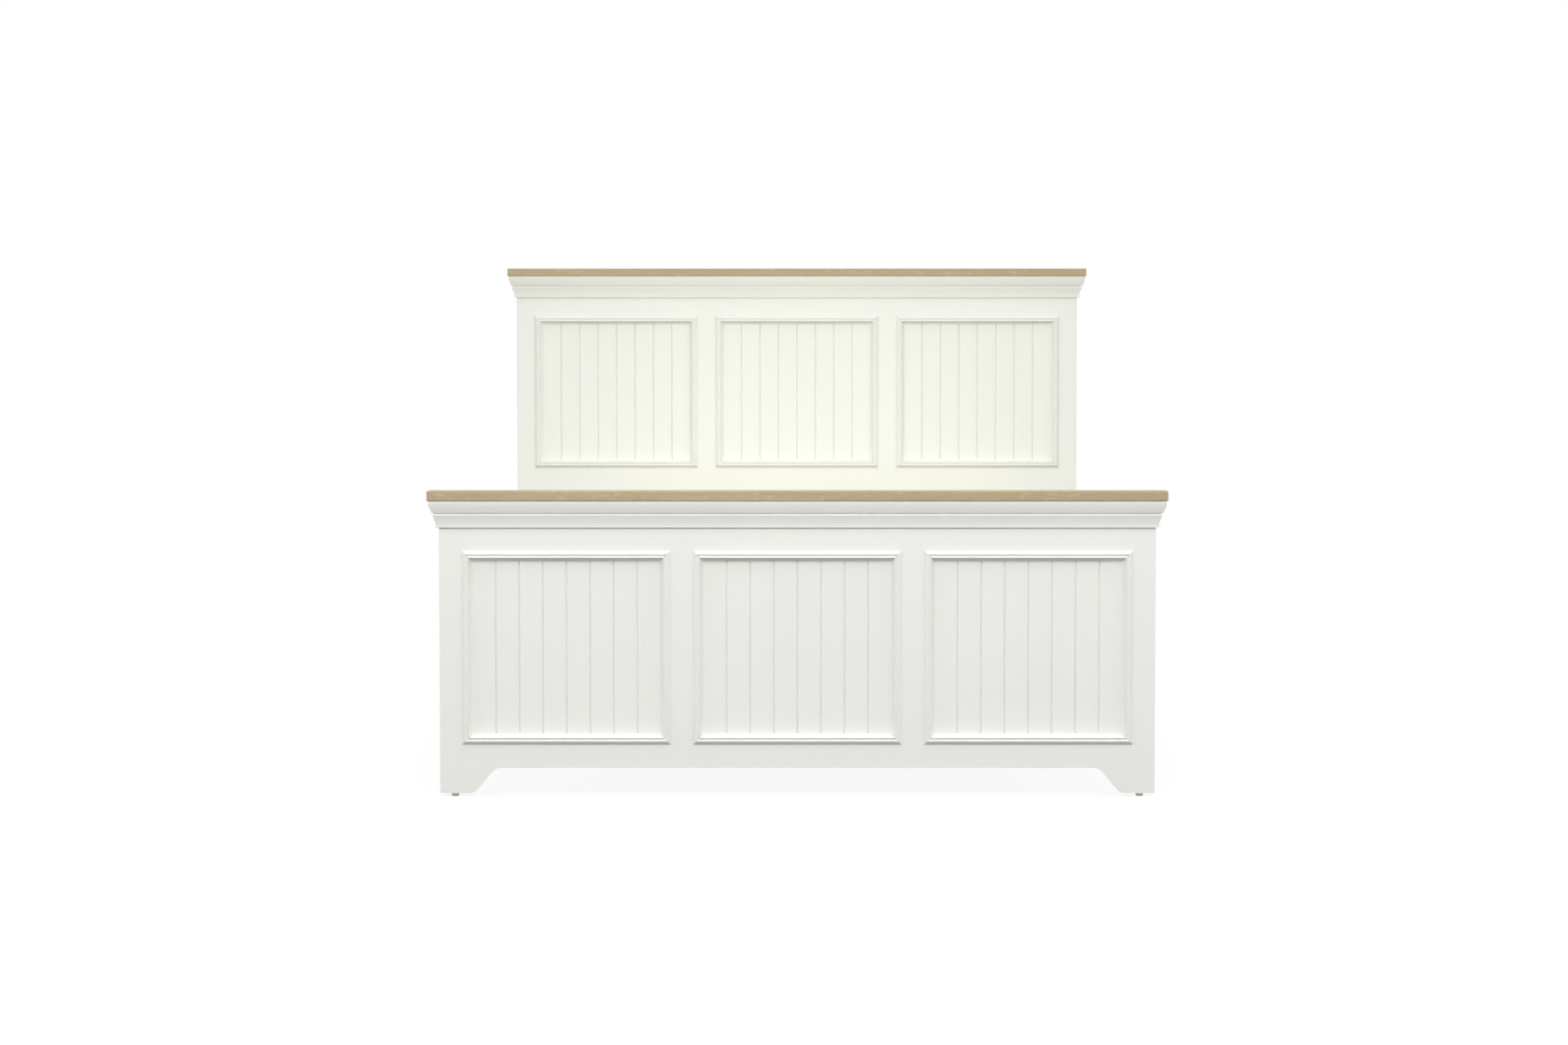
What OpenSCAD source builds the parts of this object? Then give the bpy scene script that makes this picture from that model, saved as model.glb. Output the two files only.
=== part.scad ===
// Painted wooden bedstead with a panelled headboard and footboard under oak caps,
// side rails that hang on hook plates, a slatted base and screw-in levelling glides.
// Floor at z = 0, head end towards +Y, right-hand side (seen from the foot) towards +X.

/* [Overall] */
// Width of the headboard and footboard over the posts
body_w = 1620; // [1300:10:2000]
// Clear length between the footboard posts and the headboard posts
inner_l = 2020; // [1900:10:2120]
// Height of the headboard over its cap
head_h = 1252; // [1180:2:1500]
// Height of the footboard over its cap
foot_h = 695; // [600:5:800]
// Height of the slat tops above the floor
deck_h = 285; // [260:5:320]

/* [Caps and cornice] */
// Thickness of the oak caps
cap_t = 22; // [18:1:34]
// Overhang of the caps at the front and at both ends
cap_over = 25; // [23:1:40]
// Height of the cornice's top fascia
fascia_h = 11; // [6:0.5:18]
// Height of the upper bevel under the fascia
bevel_h = 17; // [12:0.5:24]
// Height of the quirk between the two bevels
quirk_h = 2.5; // [1.5:0.5:4]
// Height and depth of the ledge over the lower bevel
ledge_h = 2.5; // [1.5:0.5:4]
// Height of the lower bevel
low_bevel_h = 16.5; // [10:0.5:22]
// Height of the cornice's bottom band
band_h = 11.5; // [6:0.5:18]
// Reach of the cornice's top fascia in front of the frame
cornice_out = 21.5; // [17:0.5:23]
// Reach of the upper bevel's lower edge
cornice_step = 14; // [12:0.5:16]
// Reach of the lower bevel's upper edge
cornice_mid = 13; // [11:0.5:15]
// Reach of the cornice's bottom band
cornice_low = 6.5; // [4:0.5:8]
// Chamfer along the arrises of the caps
cap_edge = 1; // [0.5:0.5:3]
// Height of the plain frieze between cornice and panel moulding
frieze_h = 52.5; // [40:0.5:80]

/* [Frame] */
// Thickness of the posts from front to back
post_t = 45; // [40:1:60]
// Plain margin around each panel moulding
margin = 51; // [46:1:60]
// Thickness of the rails and muntins between the posts
frame_t = 24; // [22:1:28]
// Length of the tenons on the rail ends
tenon_l = 22; // [14:1:22]
// Shoulder above and below each tenon
shoulder = 12; // [10:1:16]
// Height of the headboard rail under its panels
mid_rail_h = 129.5; // [90:0.5:150]
// Height of the headboard rail behind the mattress base
low_rail_h = 110; // [100:1:120]

/* [Footboard apron] */
// Height of the arch's flat underside above the floor
arch_z = 66; // [50:0.5:80]
// Height of the apron over the arch
apron_h = 66.5; // [50:0.5:90]
// Flat foot of the apron's bracket beside the post
bracket_flat = 2; // [1:1:14]
// Radius of both bends in the bracket's ogee
bracket_r = 26; // [8:1:28]
// Slope of the ogee between its bends, in degrees
bracket_slope = 50; // [45:1:60]

/* [Panels] */
// Thickness of the panels
panel_t = 9; // [8:0.5:10]
// Depth of the panel faces behind the frame's face
recess = 8; // [6:0.5:9]
// Depth of the grooves that hold the panels
groove_in = 8; // [6:0.5:9]
// Distance between the V grooves of a panel
vee_pitch = 53.46; // [40:0.01:80]
// Width of a V groove at the face
vee_w = 4.5; // [3:0.5:7]
// Depth of a V groove
vee_d = 3.5; // [2:0.25:4.5]

/* [Panel moulding] */
// Width of the panel moulding
mould_w = 24.5; // [23:0.5:32]
// Part of that width that laps over the frame
mould_lap = 13; // [12:0.5:14]
// Height of the moulding's two ridges over the frame's face
mould_out = 9; // [7:0.5:12]
// Distance of the outer ridge from the moulding's outer edge
ridge_at = 8.2; // [7:0.1:10]
// Distance between the two ridges
ridge_gap = 7.2; // [6:0.1:8.4]
// Depth of the quirk between the ridges
quirk_d = 3.2; // [2:0.1:4.5]
// Thickness of the moulding's thin outer edge
mould_edge = 1.2; // [0.8:0.1:3]
// Thickness of the moulding's thin inner edge
mould_foot = 1.4; // [1:0.1:2]

/* [Base] */
// Thickness of the side rails
side_t = 27; // [24:1:32]
// Height of the side rails
side_h = 160; // [140:1:190]
// Height of the side rails over the slat tops
side_over = 45; // [30:1:60]
// Width and height of the slat battens
batten = 30; // [24:1:36]
// Gap at each end of the battens
batten_gap = 2; // [1:0.5:6]
// Number of slats
slat_n = 15; // [11:1:19]
// Width of a slat
slat_w = 70; // [60:1:80]
// Thickness of a slat
slat_t = 18; // [16:1:24]
// Gap between the outermost slats and the end boards
slat_end = 15; // [5:1:30]
// Gap between a slat's end and the side rail
slat_side = 3; // [1:0.5:6]
// Width of the centre rail and its legs
centre_w = 45; // [38:1:60]
// Height of the centre rail
centre_h = 70; // [60:1:80]
// Distance between the two centre legs
leg_gap = 680; // [500:10:900]
// Height of the cross rail inside the footboard
cross_h = 97; // [90:1:110]

/* [Rail fittings] */
// Width of the hook plates and post plates
plate_w = 18; // [16:1:20]
// Thickness of the plates
plate_t = 3; // [2:0.5:4]
// Height of the plates
plate_h = 120; // [116:1:130]
// Thickness of a hook
hook_t = 4; // [3:0.5:4.5]
// Height of a hook's neck
hook_h = 14; // [12:1:16]
// Drop of a hook's tongue behind the post plate
hook_drop = 6; // [4:0.5:7]
// Thickness of the centre rail's steel hangers
hanger_t = 2.5; // [2:0.5:3]
// Depth of a hanger's pocket along the centre rail
hanger_l = 40; // [30:1:60]
// Height of a hanger's cheeks
hanger_h = 56; // [50:1:58]
// Width of a hanger's flange beside its pocket
flange_w = 20; // [16:1:30]
// Wood of the low rail under the hanger
hanger_edge = 4.5; // [2:0.5:8]
// Distance from a plate's end to the middle of its last screw
screw_edge = 6; // [5.5:0.5:7]
// Distance between the two hooks of a plate
hook_pitch = 58; // [54:1:60]

/* [Screws and dowels] */
// Shank diameter of the screws
screw_d = 4; // [3.5:0.5:4.5]
// Head diameter of the screws
screw_head = 8; // [7:0.5:9]
// Length of the screws in the plates
plate_screw_l = 30; // [20:1:36]
// Length of the screws in the battens
batten_screw_l = 45; // [40:1:48]
// Screws in each batten
batten_screw_n = 6; // [4:1:8]
// Length of the screws in the slats
slat_screw_l = 35; // [30:1:40]
// Diameter of the dowels
dowel_d = 10; // [8:1:12]
// Length of the dowels
dowel_l = 40; // [36:1:46]
// Depth of a dowel in the cap or the centre leg's rail
dowel_in = 14; // [10:1:15]

/* [Levelling glides] */
// Height of the leg ends above the floor with the glides screwed in
leg_z = 8.5; // [7:0.5:12]
// Diameter of a glide's steel base
glide_d = 18; // [16:1:22]
// Width across the base's spanner flats
glide_flats = 15; // [13:0.5:15.5]
// Thickness of the nylon sole
sole_t = 2.6; // [2.4:0.2:3]
// Diameter of the nylon sole
sole_d = 16; // [14:1:20]
// Diameter of the thread
thread_d = 8; // [6:1:8]
// Pitch of the thread
thread_pitch = 1.25; // [1:0.25:1.5]
// Travel of a glide when it is screwed out
glide_travel = 12; // [8:1:16]
// Stem left over the insert when the glide is screwed out
stem_over = 3; // [1:0.5:6]
// Depth of the hole over the end of the stem
stem_room = 6; // [4:1:12]
// Wood between the glide's hole and the apron's tenon
hole_cover = 9; // [6:1:16]
// Outer diameter of the threaded insert in each leg
insert_d = 12; // [11:1:14]
// Length of the insert
insert_l = 15; // [12:1:18]

/* [Clearances] */
// Clearance around tenons, tongues and panels
fit = 0.2; // [0.1:0.05:0.3]
// Clearance around screws, dowels and inserts
bore_fit = 0.1; // [0.05:0.05:0.2]
// Running clearance of the glide's thread and swivel
run_fit = 0.05; // [0.02:0.01:0.1]
// Cut back at each mitre, as the glue line
mitre_fit = 0.15; // [0.05:0.05:0.3]
// Gap between hook plate and post plate
plate_gap = 0.3; // [0.1:0.1:0.6]
// Gap above and below a glide's base
glide_gap = 0.1; // [0.05:0.05:0.3]
// Room on each side of a hook in its pocket
hook_room = 2; // [1:0.5:3]
// Wood left behind the tips of the hanger screws
screw_cover = 3; // [2:0.5:6]

/* [Hidden] */

// Places along Y: the front faces of both end boards
overall_l = cap_over + post_t + inner_l + post_t;
foot_y = -overall_l / 2 + cap_over;
head_y = foot_y + post_t + inner_l;
deck_y0 = foot_y + post_t;

// Widths in the end boards
half_w = body_w / 2;
post_w = margin + mould_lap;
post_x = half_w - post_w;
post_cx = half_w - post_w / 2;
muntin_w = margin + 2 * mould_lap;
opening_w = (2 * post_x - 2 * muntin_w) / 3;
bay = opening_w + muntin_w;
side_x = post_cx - side_t / 2;

// Glide heights
base_z = sole_t + glide_gap;
stem_z = leg_z - 2 * glide_gap;
stem_l = insert_l + glide_travel + stem_over;
thread_r = thread_d / 2 - run_fit;
thread_depth = 0.6 * thread_pitch;
plain_stem = 1;
swivel_r = 3;
swivel_l = 1.5;

// Heights in the end boards
cornice_h = band_h + low_bevel_h + ledge_h + quirk_h + bevel_h + fascia_h;
top_rail_h = cornice_h + frieze_h + mould_lap;
foot_open_z = arch_z + apron_h;
opening_h = foot_h - cap_t - top_rail_h - foot_open_z;
head_open_z = head_h - cap_t - top_rail_h - opening_h;
mid_rail_z = head_open_z - mid_rail_h;
slat_z = deck_h - slat_t;
centre_z = slat_z - centre_h;
hanger_z = centre_z - hanger_t;
low_rail_z = hanger_z - hanger_edge;
low_rail_top = low_rail_z + low_rail_h;
side_z = deck_h + side_over - side_h;
plate_z = side_z + side_h / 2;
tongue = groove_in - fit;
apron_tenon_z = leg_z + stem_l + stem_room + hole_cover;

// Hooks and screws of a plate, measured from its middle
slot_h = hook_h + hook_drop + hook_room;
hook_z = [-(hook_pitch + slot_h) / 2, (hook_pitch - slot_h) / 2];
plate_screw_z = [screw_edge - plate_h / 2, -hook_drop / 2, plate_h / 2 - screw_edge];
pocket_d = hook_t + 4 * hook_room;
pocket_w = hook_t + 2 * hook_room;

// Slat rows and the batten screws between them
slat_pitch = (inner_l - 2 * slat_end - slat_w) / (slat_n - 1);
function slat_y(i) = deck_y0 + slat_end + slat_w / 2 + i * slat_pitch;
function batten_screw_y(k) =
    slat_y(round(k * (slat_n - 2) / (batten_screw_n - 1))) + slat_pitch / 2;
slat_screw_x = side_x - batten / 2;

// Middle line of the base, its legs and the screws of its hangers
mid_y = (deck_y0 + head_y) / 2;
leg_foot_y = mid_y - leg_gap / 2;
leg_head_y = mid_y + leg_gap / 2;
cross_t = post_t - frame_t;
hanger_screw_l = cross_t - screw_cover + hanger_t;
hanger_screw_x = centre_w / 2 + hanger_t + flange_w / 2;
hanger_screw_z = [hanger_z + 2 * screw_edge, hanger_z + hanger_h - screw_edge];

// Shared shapes
module block(lo, hi) {
    translate(lo) cube(hi - lo);
}

module sided(side) {
    if (side < 0) mirror([1, 0, 0]) children();
    else children();
}

// Points of a shallow bulge from a to b, k proud of the straight line
function bulged(a, b, k, n = 6) =
    let (d = b - a, normal = [d[1], -d[0]] / norm(d))
    [for (i = [0 : n]) a + d * i / n + normal * k * 4 * (i / n) * (1 - i / n)];

// Points of an arc about c
function arc(c, r, a0, a1, n = 8) =
    [for (i = [0 : n]) c + r * [cos(a0 + (a1 - a0) * i / n), sin(a0 + (a1 - a0) * i / n)]];

// A countersunk wood screw, head at the origin, pointing down
rim_t = 0.4;
tip_l = 4;
drive_w = 1;
drive_depth = 1.6;
drive_reach = 0.6;

module screw_body(l, grow = 0, over = 0) {
    r = screw_d / 2 + grow;
    head_r = screw_head / 2 + grow;
    rim_z = -rim_t - grow;
    rotate_extrude($fn = 32)
        polygon([
            [0, over], [head_r, over], [head_r, rim_z], [r, rim_z - head_r + r],
            [r, tip_l - l], [0, -l - 2 * grow]
        ]);
}

module screw(l) {
    difference() {
        screw_body(l);
        for (turn = [0, 90])
            rotate([0, 0, turn])
                block([-screw_head * drive_reach / 2, -drive_w / 2, -drive_depth],
                      [screw_head * drive_reach / 2, drive_w / 2, 1]);
    }
}

module screw_hole(l) {
    screw_body(l, bore_fit, 1);
}

module dowel_hole(at, depth) {
    translate(at) cylinder(d = dowel_d + 2 * bore_fit, h = depth, $fn = 32);
}

// End boards: local y = 0 is the board's front face
module at_foot() {
    translate([0, foot_y, 0]) children();
}

module at_head() {
    translate([0, head_y, 0]) children();
}

// Groove or mortise in the plane of the panels
module plough(x0, x1, z0, z1) {
    block([x0, recess - fit, z0], [x1, recess + panel_t + fit, z1]);
}

module mortise(z0, z1) {
    plough(post_x - 1, post_x + tenon_l + fit, z0 + shoulder - fit, z1 - shoulder + fit);
}

module post_groove(z0, z1) {
    plough(post_x - 1, post_x + groove_in, z0 - groove_in, z1 + groove_in);
}

// Hole for a glide's insert, and for its stem above the insert
module glide_hole(at) {
    translate(at) {
        translate([0, 0, -1]) cylinder(d = insert_d + 2 * bore_fit, h = insert_l + 1 + bore_fit, $fn = 48);
        cylinder(d = thread_d + 1, h = stem_l + stem_room, $fn = 48);
    }
}

// Frames of the four rail joints: y = 0 is the post's face, +y goes into the post
module rail_joint(side, end) {
    sided(side)
        translate([post_cx, end == "foot" ? deck_y0 : head_y, plate_z])
            mirror([0, end == "foot" ? 1 : 0, 0])
                children();
}

module each_rail_joint() {
    for (end = ["foot", "head"])
        for (side = [-1, 1])
            rail_joint(side, end) children();
}

module plate_seat() {
    block([-plate_w / 2 - fit, -1, -plate_h / 2 - fit], [plate_w / 2 + fit, plate_t, plate_h / 2 + fit]);
    for (z = hook_z)
        block([-pocket_w / 2, 0, z - hook_drop - hook_room],
              [pocket_w / 2, plate_t + pocket_d, z + slot_h + hook_room]);
    for (z = plate_screw_z)
        translate([0, 0, z]) rotate([90, 0, 0]) screw_hole(plate_screw_l);
}

module post(side, top_z, end) {
    sided(side)
        difference() {
            block([post_x, 0, leg_z], [half_w, post_t, top_z]);
            dowel_hole([post_cx, post_t / 2, top_z - dowel_l + dowel_in - bore_fit], dowel_l);
            glide_hole([post_cx, post_t / 2, leg_z]);
            translate([0, end == "foot" ? -foot_y : -head_y, 0]) rail_joint(1, end) plate_seat();
            children();
        }
}

module head_post(side) {
    color("ivory")
        at_head()
            post(side, head_h - cap_t, "head") {
                union() {
                    mortise(head_open_z + opening_h, head_h - cap_t);
                    mortise(mid_rail_z, head_open_z);
                    mortise(low_rail_z, low_rail_top);
                    post_groove(head_open_z, head_open_z + opening_h);
                    post_groove(low_rail_top, mid_rail_z);
                }
            }
}

module foot_post(side) {
    color("ivory")
        at_foot()
            post(side, foot_h - cap_t, "foot") {
                union() {
                    mortise(foot_open_z + opening_h, foot_h - cap_t);
                    mortise(apron_tenon_z - shoulder, foot_open_z);
                    post_groove(foot_open_z, foot_open_z + opening_h);
                    cross_tenon(post_x - 1, fit);
                }
            }
}

// Tenon of the cross rail, or its mortise when grown by a clearance
module cross_tenon(x0, grow) {
    y = frame_t + cross_t / 2;
    half_t = cross_t * 0.22;
    block([x0, y - half_t - grow, slat_z - cross_h + shoulder - grow],
          [post_x + tenon_l - 2 + grow, y + half_t + grow, slat_z - shoulder + grow]);
}

// A rail between the posts, with tenons and with panel grooves where asked
module rail(z0, z1, groove_under, groove_over) {
    difference() {
        block([-post_x, 0, z0], [post_x, frame_t, z1]);
        if (groove_under) plough(-post_x - 1, post_x + 1, z0 - 1, z0 + groove_in);
        if (groove_over) plough(-post_x - 1, post_x + 1, z1 - groove_in, z1 + 1);
        children();
    }
    rail_tenons(z0, z1);
}

module rail_tenons(z0, z1) {
    for (side = [-1, 1])
        sided(side)
            block([post_x - 0.01, recess, z0 + shoulder], [post_x + tenon_l, recess + panel_t, z1 - shoulder]);
}

module top_rail(top_z) {
    color("ivory")
        rail(top_z - top_rail_h, top_z, true, false)
            for (side = [-1, 1])
                dowel_hole([side * bay / 2, frame_t / 2, top_z - dowel_l + dowel_in - bore_fit], dowel_l);
}

module head_mid_rail() {
    color("ivory") at_head() rail(mid_rail_z, head_open_z, true, true);
}

module head_low_rail() {
    color("ivory")
        at_head()
            rail(low_rail_z, low_rail_top, false, true)
                hanger_screw_holes(1);
}

// Screw holes of a hanger in the rail that carries it, into +y or -y from y = 0
module hanger_screw_holes(dir) {
    for (side = [-1, 1])
        for (z = hanger_screw_z)
            translate([side * hanger_screw_x, -dir * hanger_t, z])
                rotate([dir * 90, 0, 0]) screw_hole(hanger_screw_l);
}

// Lower edge of the apron's right half, from the arch out to the bracket's foot
bracket_x = post_x - bracket_flat;
bracket_w = let (rise = arch_z - leg_z, bends = 2 * bracket_r * (1 - cos(bracket_slope)))
    2 * bracket_r * sin(bracket_slope) + (rise - bends) / tan(bracket_slope);
bracket_edge = concat(
    arc([bracket_x - bracket_w, arch_z - bracket_r], bracket_r, 90, 90 - bracket_slope),
    arc([bracket_x, leg_z + bracket_r], bracket_r, 270 - bracket_slope, 270));

// The same points for the left half, in the order that closes the outline
function left_half(points) = [for (i = [len(points) - 1 : -1 : 0]) [-points[i][0], points[i][1]]];

module foot_apron() {
    color("ivory")
        at_foot() {
            difference() {
                translate([0, frame_t, 0])
                    rotate([90, 0, 0])
                        linear_extrude(frame_t)
                            polygon(concat(
                                [[-post_x, foot_open_z], [-post_x, leg_z]], left_half(bracket_edge),
                                bracket_edge, [[post_x, leg_z], [post_x, foot_open_z]]));
                plough(-post_x - 1, post_x + 1, foot_open_z - groove_in, foot_open_z + 1);
            }
            rail_tenons(apron_tenon_z - shoulder, foot_open_z);
        }
}

module foot_cross_rail() {
    color("burlywood")
        at_foot() {
            difference() {
                block([-post_x, frame_t, slat_z - cross_h], [post_x, post_t, slat_z]);
                translate([0, post_t, 0]) hanger_screw_holes(-1);
            }
            for (side = [-1, 1])
                sided(side) cross_tenon(post_x - 0.01, 0);
        }
}

// Upright between two bays, with a tongue at each end and grooved edges
module muntin(side, z0) {
    color("ivory")
        translate([side * bay / 2, 0, 0]) {
            difference() {
                block([-muntin_w / 2, 0, z0], [muntin_w / 2, frame_t, z0 + opening_h]);
                for (edge = [-1, 1])
                    sided(edge)
                        plough(muntin_w / 2 - groove_in, muntin_w / 2 + 1, z0 - 1, z0 + opening_h + 1);
            }
            half_t = muntin_w / 2 - groove_in - fit;
            block([-half_t, recess, z0 - tongue], [half_t, recess + panel_t, z0 + 0.01]);
            block([-half_t, recess, z0 + opening_h - 0.01], [half_t, recess + panel_t, z0 + opening_h + tongue]);
        }
}

// A panel whose face is worked with V grooves into a row of boards
module vee_panel(index, z0) {
    half = opening_w / 2 + tongue;
    sight = opening_w / 2 - (mould_w - mould_lap);
    rows = floor((sight - 2 * vee_w) / vee_pitch);
    face = [for (i = [-rows : rows]) each [
        [i * vee_pitch - vee_w / 2, recess], [i * vee_pitch, recess + vee_d],
        [i * vee_pitch + vee_w / 2, recess]]];
    color("ivory")
        translate([index * bay, 0, z0 - tongue])
            linear_extrude(opening_h + 2 * tongue)
                polygon(concat([[-half, recess]], face,
                    [[half, recess], [half, recess + panel_t], [-half, recess + panel_t]]));
}

module head_low_panel() {
    color("ivory")
        at_head()
            block([-post_x - tongue, recess, low_rail_top - tongue],
                  [post_x + tongue, recess + panel_t, mid_rail_z + tongue]);
}

// Section of the panel moulding: first from its outer edge inwards, then proud of the frame
ridge2_at = ridge_at + ridge_gap;
mould_section = concat(
    [[0, 0], [0, mould_edge]],
    bulged([0, mould_edge], [ridge_at, mould_out], -0.5),
    [[ridge_at + ridge_gap / 2, mould_out - quirk_d], [ridge2_at, mould_out]],
    bulged([ridge2_at, mould_out], [mould_w - mould_foot, mould_foot - recess], 0.6),
    [[mould_w, mould_foot - recess], [mould_w, -recess], [mould_lap + fit, -recess], [mould_lap + fit, 0]]);

// One mitred length, its outer edge at z = 0 and its face towards -y
module mould_length(l) {
    intersection() {
        rotate([90, 0, 90])
            linear_extrude(l, center = true)
                polygon([for (p = mould_section) [-p[1], -p[0]]]);
        rotate([90, 0, 0])
            linear_extrude(4 * mould_w, center = true)
                polygon([
                    [mitre_fit - l / 2, 0], [l / 2 - mitre_fit, 0],
                    [l / 2 - mitre_fit - mould_w, -mould_w], [mitre_fit + mould_w - l / 2, -mould_w]]);
    }
}

module panel_moulding(index, z0) {
    w = opening_w + 2 * mould_lap;
    h = opening_h + 2 * mould_lap;
    color("ivory")
        translate([index * bay, 0, z0 + opening_h / 2])
            for (turn = [0, 180]) {
                rotate([0, turn, 0]) translate([0, 0, h / 2]) mould_length(w);
                rotate([0, turn + 90, 0]) translate([0, 0, w / 2]) mould_length(h);
            }
}

// Section of the cornice: reach in front of the frame, height over its bottom edge
ledge_z = band_h + low_bevel_h;
quirk_z = ledge_z + ledge_h;
bevel_z = quirk_z + quirk_h;
quirk_out = cornice_mid - ledge_h;
cornice_section = [
    [0, 0], [cornice_low, 0], [cornice_low, band_h], [cornice_mid, ledge_z],
    [quirk_out, quirk_z], [quirk_out, bevel_z], [cornice_step, bevel_z],
    [cornice_out, bevel_z + bevel_h], [cornice_out, cornice_h], [0, cornice_h]];

// Cornice along the front, mitred into a short return round each post
module cornice(top_z) {
    reach = cornice_out + 1;
    cut = mitre_fit;
    color("ivory")
        translate([0, 0, top_z - cornice_h]) {
            intersection() {
                rotate([90, 0, 90])
                    linear_extrude(body_w + 2 * reach, center = true)
                        polygon([for (p = cornice_section) [-p[0], p[1]]]);
                linear_extrude(cornice_h)
                    polygon([
                        [cut - half_w, 0], [half_w - cut, 0],
                        [half_w - cut + reach, -reach], [cut - half_w - reach, -reach]]);
            }
            for (side = [-1, 1])
                sided(side)
                    intersection() {
                        translate([half_w, post_t, 0])
                            rotate([90, 0, 0])
                                linear_extrude(post_t + reach) polygon(cornice_section);
                        linear_extrude(cornice_h)
                            polygon([
                                [half_w, cut], [half_w + reach, cut - reach],
                                [half_w + reach, post_t], [half_w, post_t]]);
                    }
        }
}

// Oak cap with its arrises chamfered
module cap(top_z) {
    c = cap_edge;
    w = half_w + cap_over;
    y0 = -cap_over;
    color("tan")
        difference() {
            intersection() {
                block([-w, y0, top_z - cap_t], [w, post_t, top_z]);
                rotate([90, 0, 90])
                    linear_extrude(2 * w, center = true)
                        polygon([
                            [y0 + c, top_z - cap_t], [post_t - c, top_z - cap_t], [post_t, top_z - cap_t + c],
                            [post_t, top_z - c], [post_t - c, top_z], [y0 + c, top_z],
                            [y0, top_z - c], [y0, top_z - cap_t + c]]);
                linear_extrude(top_z)
                    polygon([
                        [-w + c, y0], [w - c, y0], [w, y0 + c], [w, post_t - c],
                        [w - c, post_t], [-w + c, post_t], [-w, post_t - c], [-w, y0 + c]]);
            }
            for (at = dowel_places())
                dowel_hole([at[0], at[1], top_z - cap_t - 1], dowel_in + 1 + bore_fit);
        }
}

// Dowels between a cap and its board: one in each post, two in the top rail
function dowel_places() = [
    [-post_cx, post_t / 2], [post_cx, post_t / 2], [-bay / 2, frame_t / 2], [bay / 2, frame_t / 2]];

module dowel(at) {
    c = 1;
    translate(at)
        rotate_extrude($fn = 32)
            polygon([
                [0, 0], [dowel_d / 2 - c, 0], [dowel_d / 2, c],
                [dowel_d / 2, dowel_l - c], [dowel_d / 2 - c, dowel_l], [0, dowel_l]]);
}

module dowels() {
    color("burlywood") {
        for (at = dowel_places()) {
            at_foot() dowel([at[0], at[1], foot_h - cap_t + dowel_in - dowel_l]);
            at_head() dowel([at[0], at[1], head_h - cap_t + dowel_in - dowel_l]);
        }
        for (y = [leg_foot_y, leg_head_y])
            dowel([0, y, centre_z + dowel_in - dowel_l]);
    }
}

// Side rail with a seat for a hook plate in each end
module side_rail(side) {
    color("ivory")
        sided(side)
            difference() {
                block([side_x, deck_y0 + plate_gap, side_z], [side_x + side_t, head_y - plate_gap, side_z + side_h]);
                for (end = ["foot", "head"])
                    rail_joint(1, end)
                        translate([0, -plate_gap, 0]) {
                            block([-plate_w / 2 - fit, -plate_t, -plate_h / 2 - fit],
                                  [plate_w / 2 + fit, 1, plate_h / 2 + fit]);
                            for (z = plate_screw_z)
                                translate([0, 0, z]) rotate([-90, 0, 0]) screw_hole(plate_screw_l);
                        }
                batten_screw_places() screw_hole(batten_screw_l);
            }
}

module batten_screw_places() {
    for (k = [0 : batten_screw_n - 1])
        translate([side_x - batten, batten_screw_y(k), slat_z - batten / 2])
            rotate([0, -90, 0]) children();
}

module slat_screw_places(side) {
    for (i = [0 : slat_n - 1])
        translate([side * slat_screw_x, slat_y(i), deck_h]) children();
}

module slat_batten(side) {
    color("burlywood")
        sided(side)
            difference() {
                block([side_x - batten, deck_y0 + batten_gap, slat_z - batten],
                      [side_x, head_y - batten_gap, slat_z]);
                batten_screw_places() screw_hole(batten_screw_l);
                slat_screw_places(1) screw_hole(slat_screw_l);
            }
}

module slats() {
    half = side_x - slat_side;
    color("burlywood")
        difference() {
            for (i = [0 : slat_n - 1])
                block([-half, slat_y(i) - slat_w / 2, slat_z], [half, slat_y(i) + slat_w / 2, deck_h]);
            for (side = [-1, 1])
                slat_screw_places(side) screw_hole(slat_screw_l);
        }
}

module centre_rail() {
    color("burlywood")
        difference() {
            block([-centre_w / 2, deck_y0 + hanger_t + fit, centre_z],
                  [centre_w / 2, head_y - hanger_t - fit, slat_z]);
            for (y = [leg_foot_y, leg_head_y])
                dowel_hole([0, y, centre_z - 1], dowel_in + 1 + bore_fit);
        }
}

module centre_leg(y) {
    color("burlywood")
        difference() {
            block([-centre_w / 2, y - centre_w / 2, leg_z], [centre_w / 2, y + centre_w / 2, centre_z]);
            dowel_hole([0, y, centre_z + dowel_in - dowel_l - bore_fit], dowel_l);
            glide_hole([0, y, leg_z]);
        }
}

// Steel pocket for the centre rail's end, flanges on y = 0, pocket towards +y
module hanger() {
    in_w = centre_w / 2 + fit;
    out_w = in_w + hanger_t;
    top_z = hanger_z + hanger_h;
    difference() {
        union() {
            block([-out_w - flange_w, 0, hanger_z], [out_w + flange_w, hanger_t, top_z]);
            block([-out_w, 0, hanger_z], [out_w, hanger_l, top_z]);
        }
        block([-in_w, hanger_t, centre_z], [in_w, hanger_l + 1, top_z + 1]);
        translate([0, hanger_t, 0])
            for (side = [-1, 1])
                for (z = hanger_screw_z)
                    translate([side * hanger_screw_x, 0, z]) rotate([-90, 0, 0]) screw_hole(hanger_screw_l);
    }
}

module each_hanger() {
    translate([0, deck_y0, 0]) children();
    translate([0, head_y, 0]) mirror([0, 1, 0]) children();
}

module centre_rail_hangers() {
    color("silver") each_hanger() hanger();
}

module hanger_screws() {
    color("silver")
        each_hanger()
            for (side = [-1, 1])
                for (z = hanger_screw_z)
                    translate([side * hanger_screw_x, hanger_t, z]) rotate([-90, 0, 0]) screw(hanger_screw_l);
}

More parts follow.
